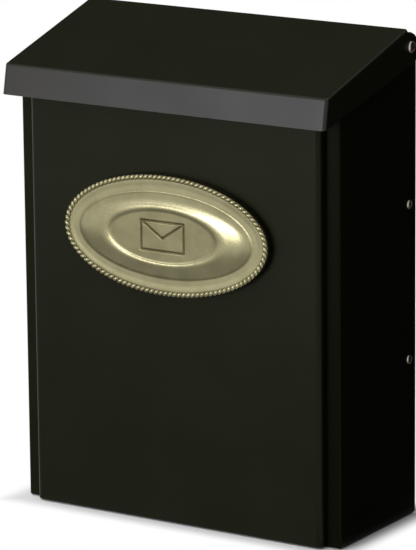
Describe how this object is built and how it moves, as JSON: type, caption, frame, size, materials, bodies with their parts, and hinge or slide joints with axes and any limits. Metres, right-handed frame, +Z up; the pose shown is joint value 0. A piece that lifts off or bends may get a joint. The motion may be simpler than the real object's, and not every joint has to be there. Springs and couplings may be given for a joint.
{
  "type": "wall mounted post box",
  "caption": "Sheet-steel wall post box with a sloping hinged lid, a drop-down front door, a hidden cam lock and an oval plate.",
  "frame": {"origin": "centre of the four wall screw holes, on the back panel's wall face", "axes": "+Y towards the wall, +Z up, +X to the right seen from the front; the door faces -Y"},
  "size_m": [0.2546, 0.1188, 0.3312],
  "materials": {
    "box_paint": "semi-gloss black paint",
    "lid_paint": "semi-gloss black paint",
    "door_paint": "semi-gloss black paint",
    "plate_brass": "aged satin brass",
    "rivet_metal": "bare steel with a little rust",
    "plated_steel": "zinc plated",
    "lock_metal": "satin chrome",
    "washer_plastic": "natural nylon"
  },
  "bodies": {
    "box": {"body_wrap": "box_paint", "back_panel": "box_paint", "header_rail": "box_paint", "hinge_pin": "plated_steel", "lock_barrel": "lock_metal", "lock_washer": "plated_steel", "lock_nut": "plated_steel", "lid_rivet_left": "rivet_metal", "lid_rivet_right": "rivet_metal", "lid_washer_left": "washer_plastic", "lid_washer_right": "washer_plastic", "side_rivet_left_lower": "box_paint", "side_rivet_left_upper": "box_paint", "side_rivet_right_lower": "box_paint", "side_rivet_right_upper": "box_paint"},
    "lid": {"lid_hood": "lid_paint"},
    "door": {"front_door": "door_paint", "door_catch": "plated_steel", "name_plate": "plate_brass", "push_nut_left": "plated_steel", "push_nut_right": "plated_steel"},
    "cam": {"lock_plug": "lock_metal", "lock_cam": "plated_steel", "cam_screw": "plated_steel"}
  },
  "joints": [
    {"name": "lid_lift", "type": "hinge", "parent": "box", "child": "lid", "pos_m": [0, -0.0095, 0.154], "axis": [-1, 0, 0], "range_deg": [0, 55]},
    {"name": "door_drop", "type": "hinge", "parent": "box", "child": "door", "pos_m": [0, -0.1015, -0.16252], "axis": [1, 0, 0], "range_deg": [0, 90]},
    {"name": "cam_turn", "type": "hinge", "parent": "box", "child": "cam", "pos_m": [0, -0.0972, 0.1285], "axis": [0, 1, 0], "range_deg": [0, 90]}
  ]
}
